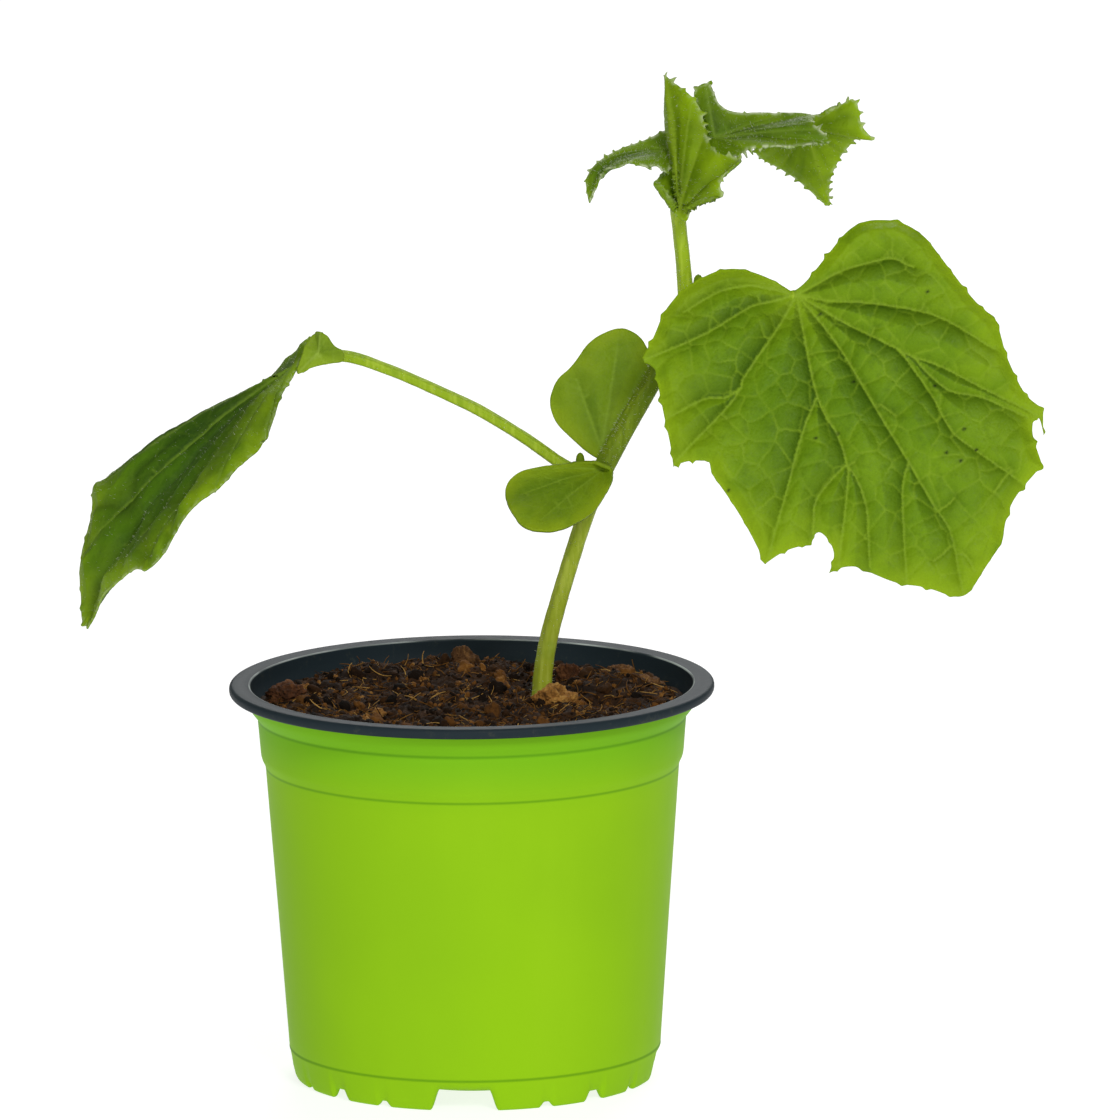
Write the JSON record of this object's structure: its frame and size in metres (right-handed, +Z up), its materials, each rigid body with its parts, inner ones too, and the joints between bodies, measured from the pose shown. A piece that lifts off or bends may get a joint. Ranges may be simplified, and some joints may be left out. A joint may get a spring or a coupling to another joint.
{
  "type": "potted cucumber plant",
  "caption": "Young cucumber plant with broad lobed leaves, growing from dark soil in a green plastic nursery pot with a dark rolled lip.",
  "frame": {"origin": "centre of the pot's base, where it stands", "axes": "+Z up along the pot's axis; +X to the right and -Y to the front"},
  "size_m": [0.2397, 0.12, 0.2521],
  "materials": {
    "pot": "satin bright green outside, dark slate inside and on the lip",
    "soil": "moist dark peat, rough, with fibres",
    "bark": "reddish composted bark and crumbly clods",
    "coir": "pale golden coir fibre",
    "root": "cream root",
    "stem": "soft green, fine white hairs",
    "leaf": "thin green blade with a network of pale veins, satin",
    "young_leaf": "bright yellow-green blade, downy"
  },
  "bodies": {
    "root": {"pot": "pot", "soil": "soil", "roots": "root", "clod_left": "bark", "clod_back_left": "soil", "bark_chip_back": "bark", "clod_middle": "soil", "clod_behind_stem": "bark", "clod_right_back": "coir", "clod_right": "bark", "clod_front": "soil", "coir_plug": "coir", "stem_lower": "stem", "stem_middle": "stem", "stem_upper": "stem", "petiole_left": "stem", "petiole_right": "stem", "leaf_left": "leaf", "leaf_left_lobe": "leaf", "leaf_right": "leaf", "leaf_top": "young_leaf", "leaf_top_far": "young_leaf", "leaf_top_left": "young_leaf", "leaf_bud": "young_leaf", "seed_leaf_front": "leaf", "seed_leaf_back": "leaf", "bud_lower": "young_leaf", "bud_upper": "young_leaf"}
  },
  "joints": []
}
